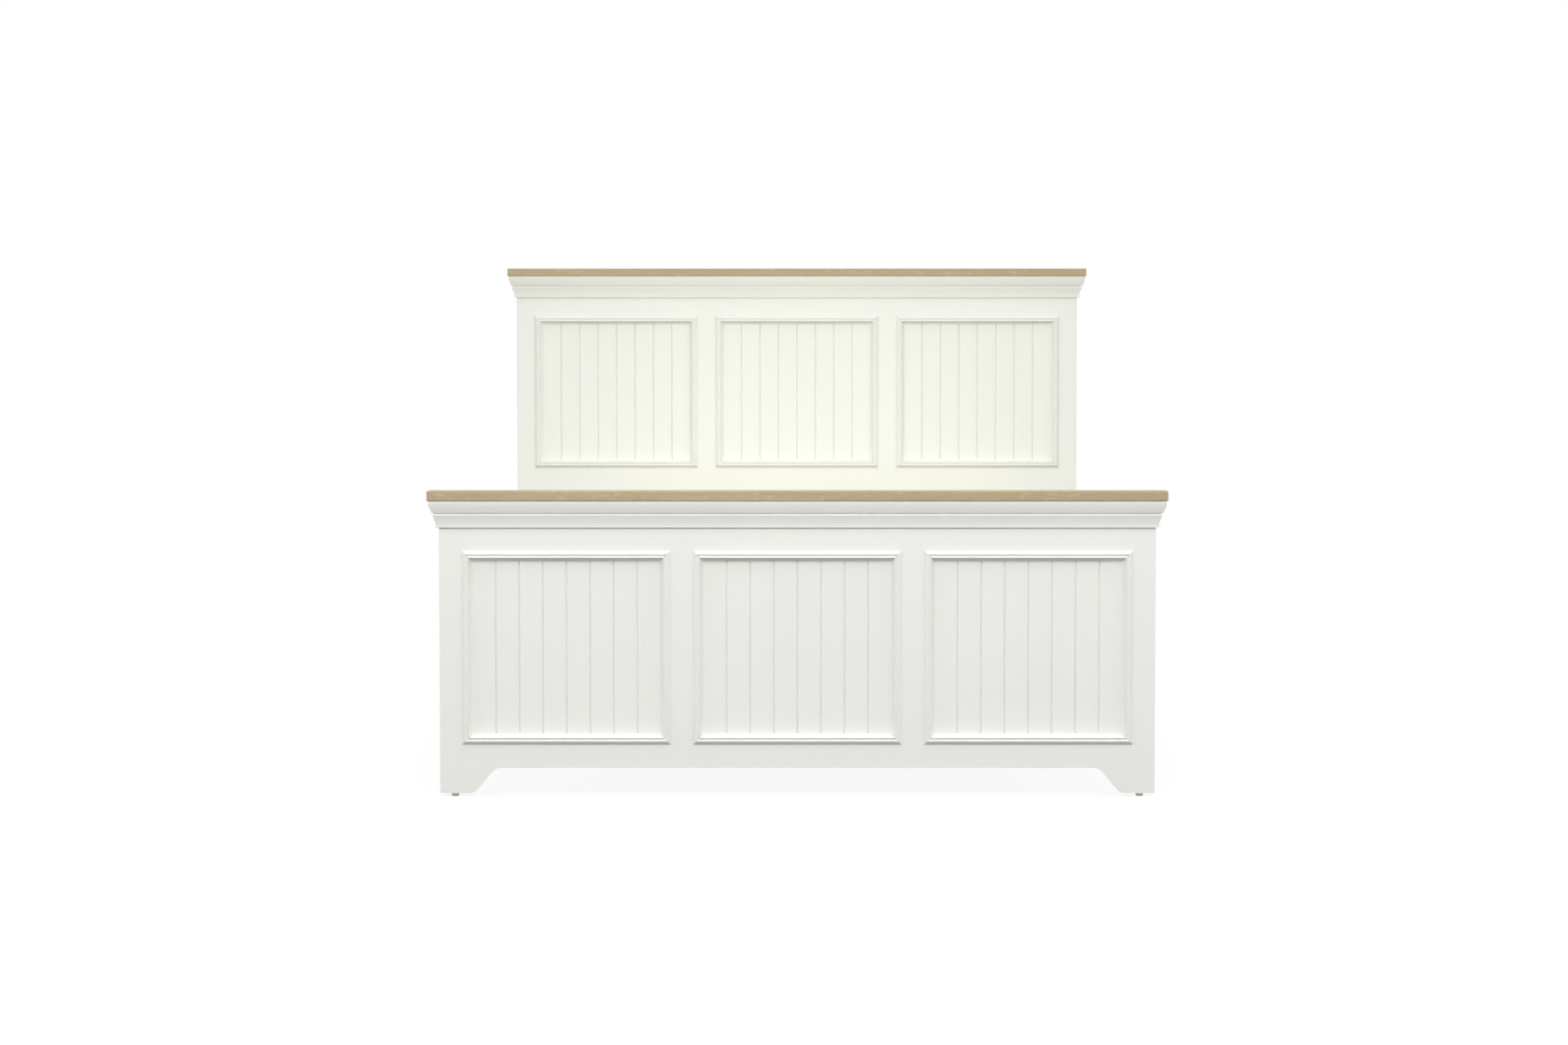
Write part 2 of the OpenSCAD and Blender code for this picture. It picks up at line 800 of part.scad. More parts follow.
module plate_blank(y0) {
    difference() {
        block([-plate_w / 2, y0, -plate_h / 2], [plate_w / 2, y0 + plate_t, plate_h / 2]);
        children();
    }
}

module post_plates() {
    slot_w = hook_t + 1;
    color("silver")
        each_rail_joint()
            plate_blank(0) {
                for (z = hook_z)
                    block([-slot_w / 2, -1, z], [slot_w / 2, plate_t + 1, z + slot_h]);
                for (z = plate_screw_z)
                    translate([0, 0, z]) rotate([90, 0, 0]) screw_hole(plate_screw_l);
            }
}

// Plate on the rail's end with two hooks that drop behind the post plate
module hook_plates() {
    back = plate_t + plate_gap;
    color("silver")
        each_rail_joint() {
            translate([0, -plate_gap, 0])
                plate_blank(-plate_t)
                    for (z = plate_screw_z)
                        translate([0, 0, z]) rotate([-90, 0, 0]) screw_hole(plate_screw_l);
            for (z = hook_z) {
                block([-hook_t / 2, -plate_gap - 0.01, z], [hook_t / 2, back + hook_t, z + hook_h]);
                block([-hook_t / 2, back, z - hook_drop], [hook_t / 2, back + hook_t, z + hook_h]);
            }
        }
}

module plate_screws() {
    color("silver")
        each_rail_joint()
            for (z = plate_screw_z) {
                translate([0, 0, z]) rotate([90, 0, 0]) screw(plate_screw_l);
                translate([0, -plate_gap, z]) rotate([-90, 0, 0]) screw(plate_screw_l);
            }
}

module batten_screws() {
    color("silver")
        for (side = [-1, 1])
            sided(side) batten_screw_places() screw(batten_screw_l);
}

module slat_screws() {
    color("silver")
        for (side = [-1, 1])
            slat_screw_places(side) screw(slat_screw_l);
}

// Where the glides stand: four posts, then the centre legs at the foot and head end
GLIDES = [
    [-post_cx, foot_y + post_t / 2], [post_cx, foot_y + post_t / 2],
    [-post_cx, head_y + post_t / 2], [post_cx, head_y + post_t / 2],
    [0, leg_foot_y], [0, leg_head_y]];

module glide_inserts() {
    color("silver")
        for (at = GLIDES)
            translate([at[0], at[1], leg_z])
                difference() {
                    cylinder(d = insert_d, h = insert_l, $fn = 48);
                    translate([0, 0, -1]) cylinder(d = thread_d, h = insert_l + 2, $fn = 48);
                }
}

// Steel base with spanner flats and a threaded stem, turning on its sole
module glide(i) {
    base_edge = 0.5;
    base_slope = 0.8;
    tip = 1;
    core_r = thread_r - thread_depth;
    top_z = stem_z + stem_l;
    thread_z = stem_z + plain_stem;
    turns = floor((top_z - tip - thread_z) / thread_pitch - 0.3);
    thread = [for (k = [0 : turns - 1]) each [
        [thread_r, thread_z + (k + 0.1) * thread_pitch],
        [thread_r, thread_z + (k + 0.3) * thread_pitch],
        [core_r, thread_z + (k + 0.7) * thread_pitch]]];
    color("silver")
        translate(concat(GLIDES[i], [0])) {
            intersection() {
                rotate_extrude($fn = 64)
                    polygon([
                        [0, base_z], [glide_d / 2 - base_edge, base_z],
                        [glide_d / 2, base_z + base_edge], [glide_d / 2, stem_z - base_slope],
                        [glide_d / 2 - base_slope, stem_z], [0, stem_z]]);
                block([-glide_d, -glide_flats / 2, 0], [glide_d, glide_flats / 2, leg_z]);
            }
            rotate_extrude($fn = 48)
                polygon(concat(
                    [[0, stem_z - 0.01], [core_r, stem_z - 0.01], [core_r, thread_z]],
                    thread, [[core_r, top_z - tip], [core_r - tip, top_z], [0, top_z]]));
            translate([0, 0, base_z - swivel_l]) cylinder(r = swivel_r, h = swivel_l + 0.01, $fn = 48);
        }
}

// Nylon sole that stays still on the floor while the glide turns
module sole(i) {
    c = 0.6;
    pocket_r = swivel_r + run_fit;
    pocket_z = base_z - swivel_l - glide_gap;
    color("whitesmoke")
        translate(concat(GLIDES[i], [0]))
            rotate_extrude($fn = 64)
                polygon([
                    [0, 0], [sole_d / 2 - c, 0], [sole_d / 2, c], [sole_d / 2, sole_t],
                    [pocket_r, sole_t], [pocket_r, pocket_z], [0, pocket_z]]);
}

head_post(-1);  // head_post_left
head_post(1);  // head_post_right
at_head() top_rail(head_h - cap_t);  // head_top_rail
head_mid_rail();
head_low_rail();
at_head() muntin(-1, head_open_z);  // head_muntin_left
at_head() muntin(1, head_open_z);  // head_muntin_right
at_head() vee_panel(-1, head_open_z);  // head_panel_left
at_head() vee_panel(0, head_open_z);  // head_panel_centre
at_head() vee_panel(1, head_open_z);  // head_panel_right
head_low_panel();
at_head() panel_moulding(-1, head_open_z);  // head_moulding_left
at_head() panel_moulding(0, head_open_z);  // head_moulding_centre
at_head() panel_moulding(1, head_open_z);  // head_moulding_right
at_head() cornice(head_h - cap_t);  // head_cornice
at_head() cap(head_h);  // head_cap
foot_post(-1);  // foot_post_left
foot_post(1);  // foot_post_right
at_foot() top_rail(foot_h - cap_t);  // foot_top_rail
foot_apron();
foot_cross_rail();
at_foot() muntin(-1, foot_open_z);  // foot_muntin_left
at_foot() muntin(1, foot_open_z);  // foot_muntin_right
at_foot() vee_panel(-1, foot_open_z);  // foot_panel_left
at_foot() vee_panel(0, foot_open_z);  // foot_panel_centre
at_foot() vee_panel(1, foot_open_z);  // foot_panel_right
at_foot() panel_moulding(-1, foot_open_z);  // foot_moulding_left
at_foot() panel_moulding(0, foot_open_z);  // foot_moulding_centre
at_foot() panel_moulding(1, foot_open_z);  // foot_moulding_right
at_foot() cornice(foot_h - cap_t);  // foot_cornice
at_foot() cap(foot_h);  // foot_cap
side_rail(-1);  // side_rail_left
side_rail(1);  // side_rail_right
slat_batten(-1);  // batten_left
slat_batten(1);  // batten_right
slats();
centre_rail();
centre_leg(leg_head_y);  // centre_leg_head
centre_leg(leg_foot_y);  // centre_leg_foot
centre_rail_hangers();
hook_plates();
post_plates();
plate_screws();
hanger_screws();
batten_screws();
slat_screws();
dowels();
glide_inserts();
glide(0);  // glide_foot_left
glide(1);  // glide_foot_right
glide(2);  // glide_head_left
glide(3);  // glide_head_right
glide(4);  // glide_centre_foot
glide(5);  // glide_centre_head
sole(0);  // sole_foot_left
sole(1);  // sole_foot_right
sole(2);  // sole_head_left
sole(3);  // sole_head_right
sole(4);  // sole_centre_foot
sole(5);  // sole_centre_head
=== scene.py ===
# %% [markdown]
# # A painted bedstead under oak caps
# The bedstead is a joiner's piece: grooved and framed end boards in ivory satin paint,
# a bare oak cap on each, painted side rails, and a softwood slatted base on screw-in
# glides. Its shapes come from a finished construction model, so this lesson is about
# surfaces: sanding the arrises, mixing the finishes and lighting a pale object softly.

# %% Load the construction model
import math

import bpy
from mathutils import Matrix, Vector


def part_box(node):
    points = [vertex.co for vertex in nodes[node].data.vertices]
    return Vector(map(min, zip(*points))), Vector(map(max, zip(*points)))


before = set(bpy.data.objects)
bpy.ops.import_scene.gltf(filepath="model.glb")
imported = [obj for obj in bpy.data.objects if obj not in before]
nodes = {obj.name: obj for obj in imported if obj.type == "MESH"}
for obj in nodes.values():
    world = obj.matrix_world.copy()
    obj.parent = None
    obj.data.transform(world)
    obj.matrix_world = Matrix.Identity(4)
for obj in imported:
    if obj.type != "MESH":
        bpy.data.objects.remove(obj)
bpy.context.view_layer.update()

print("pieces in the construction model:", len(nodes))

# %% [markdown]
# The model is in metres, the floor is z = 0 and the headboard is towards +Y. A few places
# on it are wanted again and again, so they are read from the pieces instead of typed.
# Small sizes are easier to judge in millimetres, and MM turns them into metres.

# %% Read the places that the lesson needs
post_low, post_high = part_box("foot_post_right")
half_width = post_high.x
slat_low, slat_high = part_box("slats")
MM = 0.001
print("width over the posts:", round(2 * half_width, 3))

# %% [markdown]
# The picture looks straight at the footboard from a little above it, through a long lens,
# so that the headboard shows smaller behind it. The camera's place and its lens were
# solved together from the edges of the two boards. A long lens far away keeps the
# uprights almost parallel, which a short lens close by would not.

# %% Place the camera
IMAGE_WIDTH = 1680
FOCAL_PIXELS = 3435
SENSOR = 36
AXIS_PIXEL = 851.92
CAMERA_PLACE = (-0.00503, -8.274, 0.9959)
DOWNWARD_TILT = 2.949
camera = bpy.data.objects.new("camera", bpy.data.cameras.new("camera"))
bpy.context.scene.collection.objects.link(camera)
bpy.context.scene.camera = camera
camera.data.sensor_width = SENSOR
camera.data.lens = FOCAL_PIXELS / IMAGE_WIDTH * SENSOR
camera.data.shift_x = (IMAGE_WIDTH / 2 - AXIS_PIXEL) / IMAGE_WIDTH
camera.data.clip_end = 200
camera.location = CAMERA_PLACE
camera.rotation_euler = (math.radians(90 - DOWNWARD_TILT), 0, 0)
print("lens:", round(camera.data.lens, 2), "mm")

# %% [markdown]
# Paint charts give colours as six hex digits, made for a screen. Shaders work with the
# linear amounts of light behind them. Those could be typed in too, but nobody can judge
# them by eye. So one small function turns the first into the second, and every colour
# below can be read off a chart.

# %% Turn a chart colour into linear light
def chart(code):
    parts = [int(code[i:i + 2], 16) / 255 for i in (0, 2, 4)]
    light = [p / 12.92 if p <= 0.04045 else ((p + 0.055) / 1.055) ** 2.4 for p in parts]
    return (*light, 1)


print("ivory in linear light:", [round(c, 3) for c in chart("ebece8")])

# %% [markdown]
# A finish is a web of shader nodes. Wired by hand, even 1 - mask takes four lines. This
# class wraps one socket, so that the sum is written as Python writes it and the Math
# node appears by itself. The reflected forms let a plain number come first.

# %% Write shader maths as Python
class Wire:
    def __init__(self, finish, socket):
        self.finish = finish
        self.socket = socket

    def maths(self, operation, first, second):
        return self.finish.node("Math", {"operation": operation}, {0: first, 1: second})

    def __add__(self, other):
        return self.maths("ADD", self, other)

    def __sub__(self, other):
        return self.maths("SUBTRACT", self, other)

    def __rsub__(self, other):
        return self.maths("SUBTRACT", other, self)

    def __mul__(self, other):
        return self.maths("MULTIPLY", self, other)

    __radd__ = __add__
    __rmul__ = __mul__

    def out(self, name):
        return Wire(self.finish, self.socket.node.outputs[name])


# %% [markdown]
# Every other node comes from one method: it takes the node's type, then its settings,
# then what goes into its sockets, which are numbers, colours or wires. The methods
# under it are the few combinations that the finishes share. Streaks are a noise that is
# stretched along the grain, with so many waves to the metre along it and across it.

# %% Build finishes from nodes
class Finish:
    def __init__(self, name, owner=None, shader="Principled BSDF"):
        self.material = owner or bpy.data.materials.new(name)
        self.material.use_nodes = True
        self.tree = self.material.node_tree
        self.shader = self.tree.nodes[shader]

    def node(self, kind, settings=None, sockets=None, out=0):
        made = self.tree.nodes.new("ShaderNode" + kind)
        for key, value in (settings or {}).items():
            setattr(made, key, value)
        for key, value in (sockets or {}).items():
            self.feed(made.inputs[key], value)
        return Wire(self, made.outputs[out])

    def feed(self, socket, value):
        if isinstance(value, Wire):
            self.tree.links.new(value.socket, socket)
        else:
            socket.default_value = value

    def shine(self, **sockets):
        for key, value in sockets.items():
            self.feed(self.shader.inputs[key.replace("_", " ")], value)

    def blend(self, share, first, second):
        return self.node("Mix", {"data_type": "RGBA"}, {0: share, 6: first, 7: second}, out=2)

    def step(self, value, low, high):
        return self.node("MapRange", {"interpolation_type": "SMOOTHSTEP"},
                         {"Value": value, "From Min": low, "From Max": high})

    def point(self, x, y, z):
        return self.node("CombineXYZ", None, {0: x, 1: y, 2: z})

    def noise(self, vector, scale, detail=2.0, roughness=0.5):
        return self.node("TexNoise", None, {
            "Vector": vector, "Scale": scale, "Detail": detail, "Roughness": roughness})

    def streaks(self, grain, lengthwise, crosswise, detail=2.0, roughness=0.5):
        run, across, up = grain
        place = self.point(run * lengthwise, across * crosswise, up * crosswise)
        return self.noise(place, 1, detail, roughness)

    def bump(self, height, distance, strength, under=None):
        sockets = {"Height": height, "Distance": distance, "Strength": strength}
        if under:
            sockets["Normal"] = under
        return self.node("Bump", None, sockets)

    def seen_directly(self):
        path = self.node("LightPath")
        bounced = path.out("Is Glossy Ray") + path.out("Is Transmission Ray")
        return path.out("Is Camera Ray") + bounced


# %% [markdown]
# Timber has a direction. The grain of a rail runs along X, of a post along Z and of a
# side rail along Y, and the marks of sanding follow it. A UV map could carry it, but
# every board would have to be unwrapped. The object's own coordinates are the
# bedstead's, in metres, so turning them round by name puts the grain along each piece.

# %% Turn the coordinates along the grain
def grain_coordinates(finish, along):
    place = finish.node("TexCoord", out="Object")
    parts = finish.node("SeparateXYZ", None, {0: place})
    order = {"X": "XYZ", "Y": "YXZ", "Z": "ZXY"}[along]
    return [parts.out(axis) for axis in order]


# %% [markdown]
# ## Ivory paint
# The paint is a factory satin, sprayed over sanded and primed timber. It has a faint
# orange peel, a trace of the sanding along each member, and it lies a little thicker
# and warmer in some places than in others. Bump carries the first two, because they
# are far too fine for geometry, and the sanding also greys the colour a little. A broad
# noise carries the third.

# %% Mix the ivory paint
def ivory_paint(along):
    finish = Finish("ivory_paint_" + along.lower())
    grain = grain_coordinates(finish, along)
    place = finish.point(*grain)
    sanding = finish.streaks(grain, 5, 420, detail=3)
    peel = finish.noise(place, 420, detail=1)
    tone = finish.step(finish.noise(place, 3.1), 0.3, 0.7)
    colour = finish.blend(tone, chart("ebece8"), chart("edede8"))
    colour = finish.blend(finish.step(sanding, 0.35, 0.75) * 0.12, colour, chart("e2e2db"))
    relief = finish.bump(sanding, 0.04 * MM, 0.5)
    relief = finish.bump(peel, 0.03 * MM, 0.5, relief)
    finish.shine(Base_Color=colour, Roughness=0.36 + tone * 0.05 + peel * 0.06,
                 Normal=relief, IOR=1.47)
    return finish.material


PAINT = {along: ivory_paint(along) for along in "XYZ"}
print("paints:", [m.name for m in PAINT.values()])

# %% [markdown]
# ## Timber
# Sawn timber shows one solid thing from every side: rings round a pith, cut by the
# faces of the board. A flat texture would put the same streaks on the ends too. So the
# pattern is worked out in space, as the distance from a line beside the board, and
# long faces get streaks while the ends get arcs, as they do in real boards. Two
# streaks, a broad one and a weaker fine one, bend the rings a little.

# %% Work out the rings of a board
RIPPLE_SHARE = 0.12


def ring_pattern(finish, grain, pith, spacing, wander):
    bend = finish.streaks(grain, 1.3, 9)
    ripple = finish.streaks(grain, 6, 60)
    off_centre = finish.point(grain[1] - pith[0], grain[2] - pith[1], 0)
    radius = finish.node("VectorMath", {"operation": "LENGTH"}, {0: off_centre}, out="Value")
    radius = radius + bend * wander + ripple * (wander * RIPPLE_SHARE)
    return finish.node("Math", {"operation": "FRACT"}, {0: radius * (1 / spacing)})


def fibres(finish, grain, crosswise):
    return finish.streaks(grain, 14, crosswise, detail=3, roughness=0.65)


# %% [markdown]
# ## Oak
# The caps are solid oak under a clear matt oil. Oak is ring-porous: each ring starts
# with open pores that read as short dark dashes, and pale ray flecks cross them. A scan
# of a board would repeat along a cap this long. So both are cut from stretched noises,
# and the pores also press into the surface.

# %% Mix the oiled oak
def oiled_oak(name, pith):
    finish = Finish("oiled_oak_" + name)
    grain = grain_coordinates(finish, "X")
    run, across, up = grain
    rings = ring_pattern(finish, grain, pith, spacing=3.4 * MM, wander=16 * MM)
    early = 1 - finish.step(rings, 0.1, 0.5)
    dashes = finish.streaks(grain, 26, 1150, roughness=0.6)
    pores = finish.step(dashes, 0.53, 0.66) * (0.25 + early * 0.75)
    flecks = finish.noise(finish.point(run * 40, across * 260, up * 110), 1, detail=1)
    flecks = finish.step(flecks, 0.63, 0.74)
    fine = fibres(finish, grain, 900)
    cloud = finish.streaks(grain, 1.6, 14)
    colour = finish.blend(finish.step(cloud, 0.3, 0.7), chart("b5a482"), chart("bfaf8f"))
    colour = finish.blend(finish.step(fine, 0.35, 0.7) * 0.35, colour, chart("a69470"))
    colour = finish.blend(early * 0.3, colour, chart("a8946c"))
    colour = finish.blend(flecks * 0.35, colour, chart("d3c5a4"))
    colour = finish.blend(pores * 0.6, colour, chart("84704e"))
    relief = finish.bump(fine, 0.05 * MM, 0.5)
    relief = finish.bump(1 - pores, 0.12 * MM, 0.6, relief)
    finish.shine(Base_Color=colour, Roughness=0.46 + fine * 0.12 + pores * 0.1,
                 Normal=relief, Specular_IOR_Level=0.3)
    return finish.material


OAK = {"foot": oiled_oak("foot", (-1.05, 0.55)), "head": oiled_oak("head", (1.02, 1.42))}
print("oaks:", [m.name for m in OAK.values()])

# %% [markdown]
# ## Softwood
# The parts that a mattress hides are planed pine, left bare: wide pale rings with a
# thin orange-brown line where each summer ends, and a few round knots. The knots come
# from a cell texture that is stretched along the grain, so each cell gives one knot,
# and the distance from the cell's own point, measured in metres, makes it round again.
# Painting them by hand would do for one slat, but not for fifteen.

# %% Place the knots of a softwood face
KNOTS_TO_THE_METRE = (2.6, 7.5, 7.5)
KNOT_SQUEEZE = (0.8, 1, 0.35)


def knot_distance(finish, grain, seed):
    run, across, up = [wire * count for wire, count in zip(grain, KNOTS_TO_THE_METRE)]
    place = finish.point(run + seed, across, up)
    knot = finish.node("TexVoronoi", {"voronoi_dimensions": "3D"},
                       {"Vector": place, "Scale": 1, "Randomness": 0.9}, out="Position")
    gap = finish.node("VectorMath", {"operation": "SUBTRACT"}, {0: place, 1: knot})
    metres = [squeeze / count for squeeze, count in zip(KNOT_SQUEEZE, KNOTS_TO_THE_METRE)]
    gap = finish.node("VectorMath", {"operation": "MULTIPLY"}, {0: gap, 1: metres})
    return finish.node("VectorMath", {"operation": "LENGTH"}, {0: gap}, out="Value")


print("most knots to the metre, along and across:", KNOTS_TO_THE_METRE[:2])

# %% [markdown]
# One slat's rings never match the next one's. A material for each slat would see to
# that, but the fifteen slats are one piece in the model. So the number of the slat,
# found by dividing its place by the spacing and rounding down, picks a random pith and
# a random shade for it. Every other piece has a pith and a seed of its own.

# %% Mix the planed pine
PITH_SPREAD = 120 * MM
SLAT_SHIFT = 3.7


def planed_pine(name, along, pith, seed, row=None):
    finish = Finish("planed_pine_" + name)
    run, across, up = grain_coordinates(finish, along)
    shade = 0.5
    if row:
        first, pitch = row
        number = finish.node("Math", {"operation": "FLOOR"}, {0: (across - first) * (1 / pitch)})
        shade = finish.node("TexWhiteNoise", {"noise_dimensions": "1D"}, {"W": number + seed})
        across = across - (first + number * pitch) + (shade - 0.5) * PITH_SPREAD
        run = run + number * SLAT_SHIFT
    grain = (run, across, up)
    away = knot_distance(finish, grain, seed)
    knots = 1 - finish.step(away, 4.5 * MM, 7.5 * MM)
    pull = 1 - finish.step(away, 4 * MM, 35 * MM)
    bent = (run, across, up + pull * (12 * MM))
    rings = ring_pattern(finish, bent, pith, spacing=4.8 * MM, wander=20 * MM)
    summer = finish.step(rings, 0.45, 0.93) * (1 - finish.step(rings, 0.96, 1.0))
    fine = fibres(finish, grain, 700)
    colour = finish.blend(shade, chart("dcc79e"), chart("d2b98c"))
    colour = finish.blend(summer * 0.6, colour, chart("bb9560"))
    colour = finish.blend(finish.step(fine, 0.35, 0.7) * 0.3, colour, chart("c2a574"))
    colour = finish.blend(pull * 0.35, colour, chart("b98f58"))
    colour = finish.blend(knots * 0.85, colour, chart("75502c"))
    relief = finish.bump(fine, 0.06 * MM, 0.6)
    relief = finish.bump(summer, 0.04 * MM, 0.5, relief)
    finish.shine(Base_Color=colour, Roughness=0.56 + fine * 0.12 - summer * 0.06,
                 Normal=relief, IOR=1.45)
    return finish.material


SLATS = 15
SLAT_WIDTH = 70 * MM
slat_pitch = (slat_high.y - slat_low.y - SLAT_WIDTH) / (SLATS - 1)
slat_row = (slat_low.y - (slat_pitch - SLAT_WIDTH) / 2, slat_pitch)
PINE = {
    "slats": planed_pine("slats", "X", (0.02, 0.24), 3.0, slat_row),
    "foot_cross_rail": planed_pine("cross_rail", "X", (-1.05, 0.19), 11.0),
    "centre_rail": planed_pine("centre_rail", "Y", (0.03, 0.17), 17.0),
    "batten_left": planed_pine("batten_left", "Y", (-0.72, 0.21), 23.0),
    "batten_right": planed_pine("batten_right", "Y", (0.78, 0.22), 29.0),
    "centre_leg_head": planed_pine("leg_head", "Z", (0.05, 0.30), 37.0),
    "centre_leg_foot": planed_pine("leg_foot", "Z", (-0.06, -0.36), 41.0),
}
print("pines:", len(PINE), "slat spacing", round(slat_pitch, 4))

# %% [markdown]
# ## Beech
# Dowels are beech: even, warm and short-grained, with tiny brown ray ticks. Only an
# exploded view shows them, so one plain colour would nearly do, but a piece without a
# finish would look unfinished there. Fibres and short streaks are enough.

# %% Mix the beech of the dowels
def turned_beech():
    finish = Finish("turned_beech")
    grain = grain_coordinates(finish, "Z")
    fine = fibres(finish, grain, 800)
    ticks = finish.step(finish.streaks(grain, 160, 1500, detail=1), 0.62, 0.72)
    colour = finish.blend(finish.step(fine, 0.3, 0.7), chart("d6b48a"), chart("c9a375"))
    colour = finish.blend(ticks * 0.5, colour, chart("a57c50"))
    finish.shine(Base_Color=colour, Roughness=0.5 + fine * 0.1,
                 Normal=finish.bump(fine, 0.05 * MM, 0.5), IOR=1.45)
    return finish.material


BEECH = turned_beech()
print("dowel finish:", BEECH.name)

# %% [markdown]
# ## Steel
# The hook plates, hangers, screws and inserts are zinc plated: a cool grey metal with
# cloudy crystals and soft wipe marks. The glides are nickel plated and were turned on a
# lathe, so fine rings run round them. Grey paint could stand for either, but it would
# not mirror its surroundings. So both are fully metallic, and only their colour,
# roughness and bump change over the surface.

# %% Mix the zinc and the nickel
def zinc_plate():
    finish = Finish("zinc_plate")
    place = finish.node("TexCoord", out="Object")
    cloud = finish.noise(place, 140, detail=3)
    wipe = finish.noise(place, 900)
    cell = finish.node("TexVoronoi", None, {"Vector": place, "Scale": 420}, out="Color")
    spangle = finish.node("SeparateColor", None, {0: cell})
    colour = finish.blend(finish.step(cloud, 0.3, 0.7), chart("b9bdc1"), chart("a3a8ad"))
    colour = finish.blend(spangle * 0.25, colour, chart("cfd2d4"))
    finish.shine(Base_Color=colour, Metallic=1.0, Roughness=0.3 + cloud * 0.12 + spangle * 0.08,
                 Normal=finish.bump(wipe, 0.02 * MM, 0.4))
    return finish.material


def nickel_plate():
    finish = Finish("nickel_plate")
    place = finish.node("TexCoord", out="Object")
    height = finish.node("SeparateXYZ", None, {0: place}).out("Z")
    lathe = finish.noise(finish.point(0, 0, height * 6000), 1)
    cloud = finish.noise(place, 300)
    colour = finish.blend(finish.step(cloud, 0.3, 0.7), chart("b2afa7"), chart("a2a097"))
    finish.shine(Base_Color=colour, Metallic=1.0, Roughness=0.16 + lathe * 0.08 + cloud * 0.06,
                 Normal=finish.bump(lathe, 0.01 * MM, 0.5))
    return finish.material


ZINC = zinc_plate()
NICKEL = nickel_plate()
print("metals:", ZINC.name, NICKEL.name)

# %% [markdown]
# ## Nylon
# Each glide stands on a turned sole of natural nylon: off-white, slightly see-through,
# and scuffed by the floor. Light that scatters under the skin would be truer, but on a
# sole this thin a little transmission looks the same. Scuffs are a ragged noise that
# lifts the roughness and dirties the colour.

# %% Mix the white nylon
def white_nylon():
    finish = Finish("white_nylon")
    place = finish.node("TexCoord", out="Object")
    grit = finish.noise(place, 2200)
    scuff = finish.step(finish.noise(place, 260, detail=4, roughness=0.7), 0.52, 0.72)
    colour = finish.blend(scuff * 0.5, chart("f3f2ec"), chart("d9d7cf"))
    finish.shine(Base_Color=colour, Roughness=0.38 + scuff * 0.2 + grit * 0.08,
                 Normal=finish.bump(grit, 0.03 * MM, 0.5), IOR=1.53,
                 Transmission_Weight=0.2)
    return finish.material


NYLON = white_nylon()
print("sole finish:", NYLON.name)

# %% [markdown]
# ## Which piece gets which finish
# The names of the pieces say what they are, so a short rule picks the finish, where a
# list would have to name all sixty. Painted pieces only need to know which way they run.

# %% Give every piece its finish
STEEL_PARTS = ("hook_plates", "post_plates", "plate_screws", "hanger_screws",
               "batten_screws", "slat_screws", "glide_inserts", "centre_rail_hangers")


def painted_direction(name):
    if name.startswith("side_rail"):
        return "Y"
    upright = ("post", "muntin", "panel_left", "panel_centre", "panel_right")
    return "Z" if any(word in name for word in upright) else "X"


def finish_of(name):
    if name in PINE:
        return PINE[name]
    if name in STEEL_PARTS:
        return ZINC
    if name.startswith("glide_"):
        return NICKEL
    if name.startswith("sole_"):
        return NYLON
    if name == "dowels":
        return BEECH
    if name.endswith("_cap"):
        return OAK[name[:4]]
    return PAINT[painted_direction(name)]


for name, piece in nodes.items():
    for surface in piece.material_slots:
        surface.material = finish_of(name)
print("finishes in use:", len({finish_of(name).name for name in nodes}))

# %% [markdown]
# ## Sanded arrises
# A maker takes every sharp edge off with sandpaper, and that thin rounded line is what
# catches the light. The construction model's edges are sharp. They could be rounded
# there, but a bevel modifier does it without touching the model's own mesh, once its
# flat faces are whole again and a small node group has marked the edges to sand: the
# long ones inside a given box. On the posts and the apron the box leaves out the edges
# inside their joints, so that no gap opens where two painted faces meet.

# %% Mark the edges to be rounded
def geometry_group(name):
    group = bpy.data.node_groups.new(name, "GeometryNodeTree")
    for way in ("INPUT", "OUTPUT"):
        group.interface.new_socket("Geometry", in_out=way, socket_type="NodeSocketGeometry")
    return group


def geometry_node(group, kind, settings=None, sockets=None):
    made = group.nodes.new(kind)
    for key, value in (settings or {}).items():
        setattr(made, key, value)
    for key, value in (sockets or {}).items():
        if isinstance(value, bpy.types.NodeSocket):
            group.links.new(value, made.inputs[key])
        else:
            made.inputs[key].default_value = value
    return made


